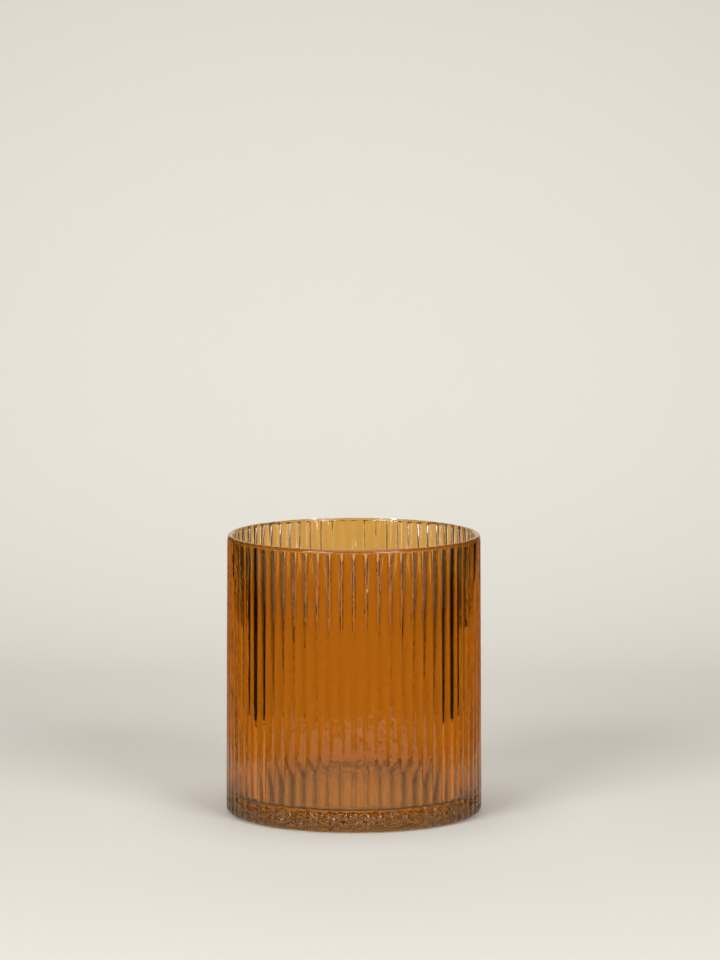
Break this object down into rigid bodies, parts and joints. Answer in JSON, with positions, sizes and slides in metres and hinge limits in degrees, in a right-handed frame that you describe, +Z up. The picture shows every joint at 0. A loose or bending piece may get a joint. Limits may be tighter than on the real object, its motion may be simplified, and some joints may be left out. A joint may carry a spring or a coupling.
{
  "type": "cylindrical glass vase",
  "caption": "Straight reeded cylinder vase in amber-coloured glass, modelled as a clear, heavy-based body with a thin amber layer over its ribbed outside. Holds flowers and water.",
  "frame": {"origin": "centre of the base, on the surface the vase stands on", "axes": "+Z up along the vase's axis; the reeds repeat round it, with a crest on +X"},
  "size_m": [0.151, 0.1508, 0.165],
  "materials": {
    "clear_glass": "clear soda-lime glass, fire polished",
    "amber_glass": "transparent amber glass, fire polished"
  },
  "bodies": {
    "root": {"clear_glass_body": "clear_glass", "amber_glass_casing": "amber_glass"}
  },
  "joints": []
}
